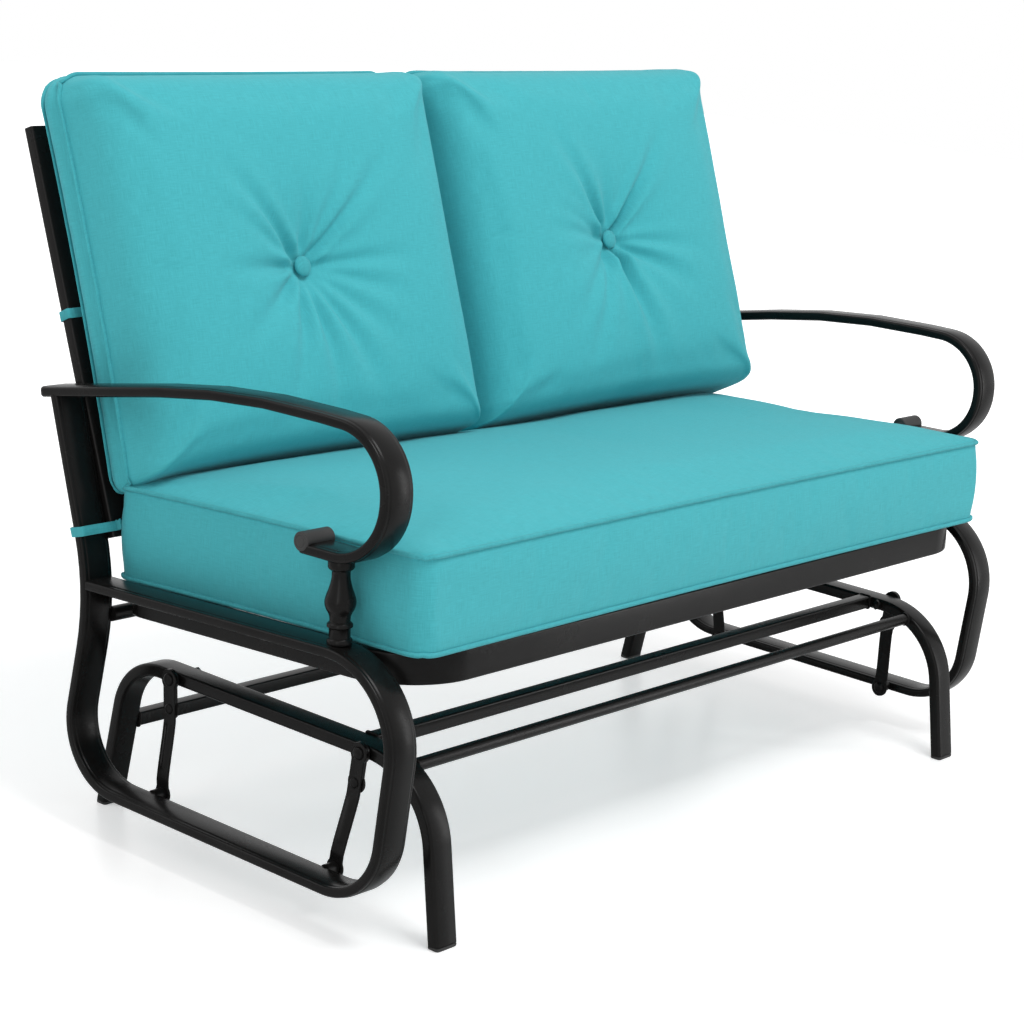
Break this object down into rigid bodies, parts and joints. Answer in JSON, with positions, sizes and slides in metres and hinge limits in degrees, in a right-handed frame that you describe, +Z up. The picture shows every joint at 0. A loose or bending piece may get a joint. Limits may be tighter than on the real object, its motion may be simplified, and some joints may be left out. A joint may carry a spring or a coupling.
{
  "type": "glider bench",
  "caption": "Porch glider bench: bent flat-tube side frames with curled arms hang on swing links from a welded base, with a boxed seat cushion and tufted back cushions.",
  "frame": {"origin": "on the floor, below the middle of the whole bench's box", "axes": "+X to the sitter's left, along the bench; -Y is the front; +Z up"},
  "size_m": [1.2738, 0.7382, 0.92],
  "materials": {
    "frame_paint": "satin",
    "hardware": "satin",
    "plastic": "matte",
    "cloth": "woven"
  },
  "bodies": {
    "base": {"base_end_frame_left": "frame_paint", "base_end_frame_right": "frame_paint", "base_upper_stretcher": "frame_paint", "base_lower_stretcher": "frame_paint", "base_rear_stretcher": "frame_paint", "foot_plugs": "plastic", "upper_pivot_bolts": "hardware", "upper_pivot_nuts": "hardware", "upper_pivot_spacers": "hardware"},
    "front_links": {"link_front_left": "frame_paint", "link_front_right": "frame_paint", "link_front_doublers": "frame_paint", "link_front_rivets": "hardware"},
    "rear_links": {"link_rear_left": "frame_paint", "link_rear_right": "frame_paint", "link_rear_doublers": "frame_paint", "link_rear_rivets": "hardware"},
    "seat": {"side_frame_left": "frame_paint", "side_frame_right": "frame_paint", "arm_left": "frame_paint", "arm_right": "frame_paint", "arm_end_caps": "plastic", "baluster_left": "frame_paint", "baluster_right": "frame_paint", "seat_frame": "frame_paint", "seat_slats": "frame_paint", "seat_cross_tube_front": "frame_paint", "seat_cross_tube_rear": "frame_paint", "back_post_left": "frame_paint", "back_post_right": "frame_paint", "back_top_rail": "frame_paint", "back_lower_rail": "frame_paint", "back_slats": "frame_paint", "back_bolts": "hardware", "lower_pivot_pins": "hardware", "lower_pivot_bushes": "hardware", "seat_cushion": "cloth", "seat_cushion_piping": "cloth", "back_cushion_left": "cloth", "back_cushion_right": "cloth", "back_cushion_piping_left": "cloth", "back_cushion_piping_right": "cloth", "back_buttons": "cloth", "back_tie_left": "cloth", "back_tie_right": "cloth", "seat_tie_left": "cloth", "seat_tie_right": "cloth"}
  },
  "joints": [
    {"name": "rear_swing", "type": "hinge", "parent": "base", "child": "rear_links", "pos_m": [0, 0.08914, 0.202], "axis": [1, 0, 0], "range_deg": [-16, 16]},
    {"name": "seat_pivot", "type": "hinge", "parent": "rear_links", "child": "seat", "pos_m": [0, 0.07613, 0.061], "axis": [1, 0, 0], "range_deg": [-17.3, 17.3]},
    {"name": "front_swing", "type": "hinge", "parent": "base", "child": "front_links", "pos_m": [0, -0.23486, 0.202], "axis": [1, 0, 0], "range_deg": [-16, 16]}
  ],
  "couplings": [
    {"joint": "rear_swing", "follows": "seat_pivot", "ratio": -0.9208},
    {"joint": "front_swing", "follows": "seat_pivot", "ratio": -0.9208}
  ]
}
